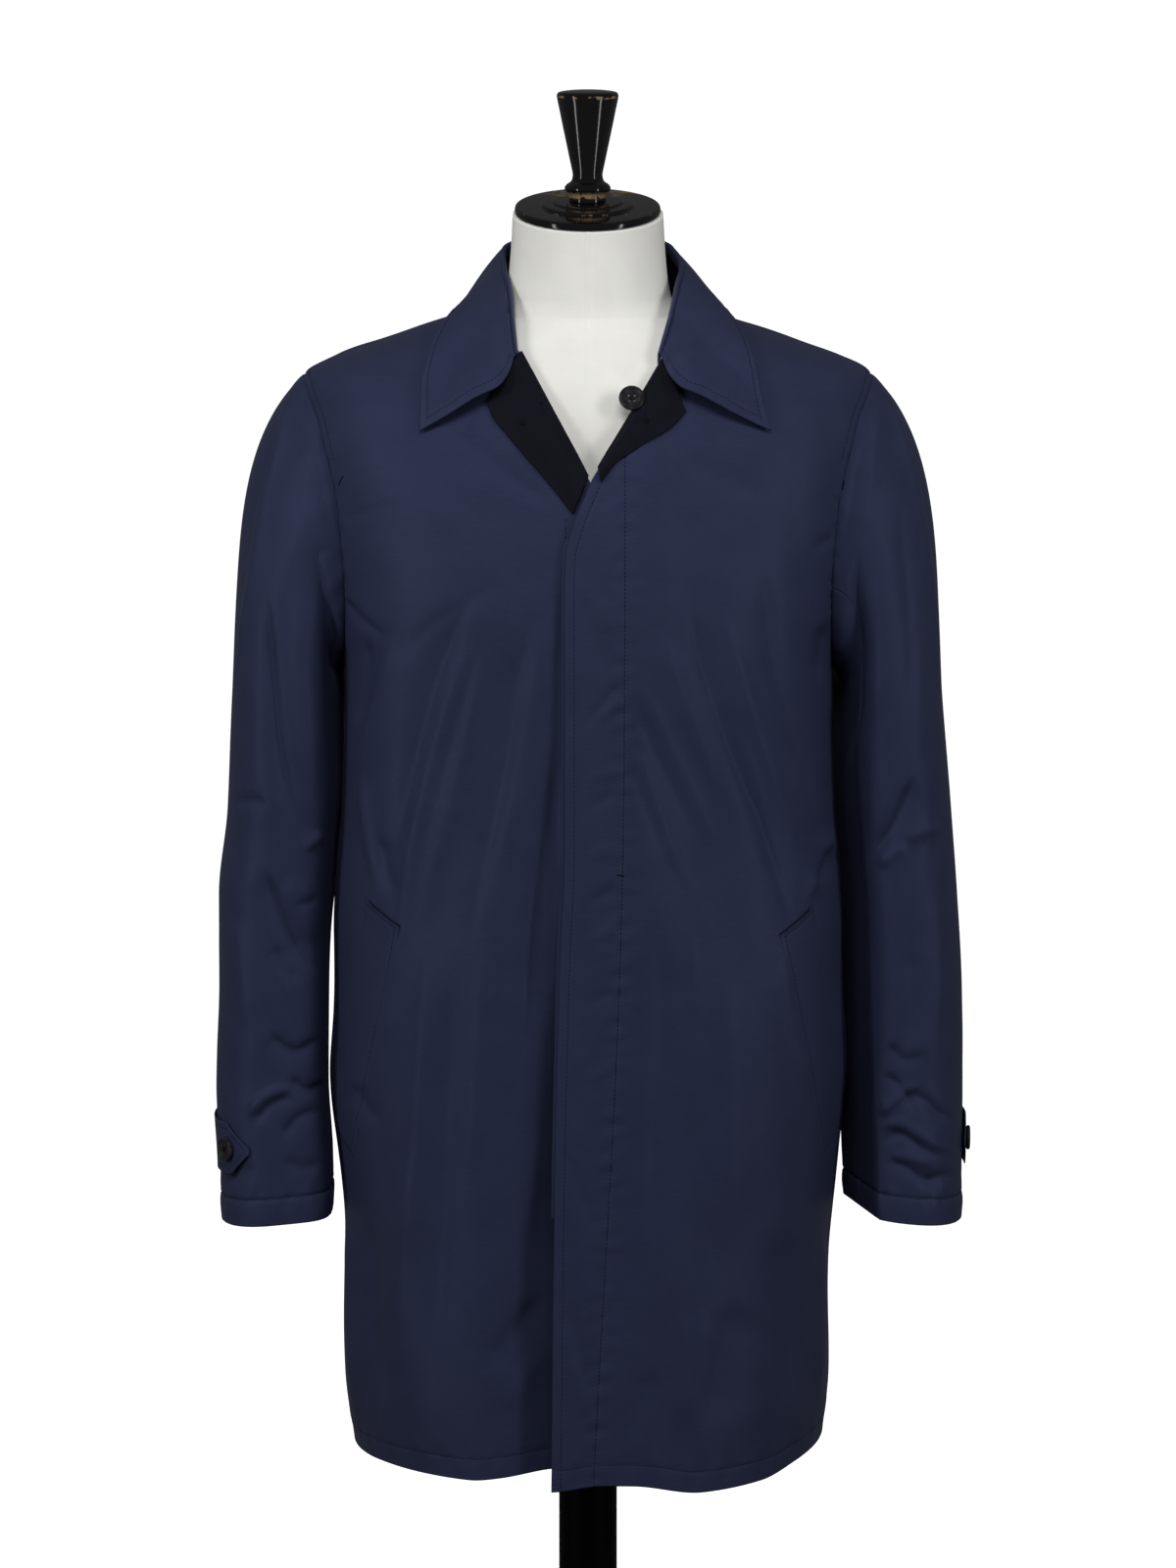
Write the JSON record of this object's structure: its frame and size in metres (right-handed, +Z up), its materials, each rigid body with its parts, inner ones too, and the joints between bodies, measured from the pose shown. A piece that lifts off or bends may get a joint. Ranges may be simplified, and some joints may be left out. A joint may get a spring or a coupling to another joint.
{
  "type": "car coat on dress form",
  "caption": "Thigh-length car coat with point collar, fly front and slanted welt pockets, worn open at the neck by a limbless dress form on a post and round base.",
  "frame": {"origin": "middle of the base's underside, on the floor", "axes": "+Z up, the front of the coat faces -Y, the wearer's left is +X"},
  "size_m": [0.6047, 0.4, 1.6666],
  "materials": {
    "shell_cloth": "smooth satin weave, navy",
    "inner_cloth": "matt weave, near black",
    "button_resin": "polished black resin",
    "form_canvas": "plain off-white canvas",
    "black_lacquer": "glossy black lacquer, rubbed bare at the edges",
    "stand_metal": "satin black paint"
  },
  "bodies": {
    "root": {"front_R": "shell_cloth", "front_L": "shell_cloth", "fly_underlay": "shell_cloth", "back": "shell_cloth", "sleeve_top_R": "shell_cloth", "sleeve_top_L": "shell_cloth", "sleeve_under_R": "shell_cloth", "sleeve_under_L": "shell_cloth", "collar_fall": "shell_cloth", "collar_stand": "shell_cloth", "revers_R": "inner_cloth", "revers_L": "inner_cloth", "pocket_welt_R": "shell_cloth", "pocket_welt_L": "shell_cloth", "cuff_tab_R": "shell_cloth", "cuff_tab_L": "shell_cloth", "neck_button": "button_resin", "cuff_button_R": "button_resin", "cuff_button_L": "button_resin", "bust": "form_canvas", "neck_cap": "black_lacquer", "knob": "black_lacquer", "post": "stand_metal", "base": "stand_metal"}
  },
  "joints": []
}
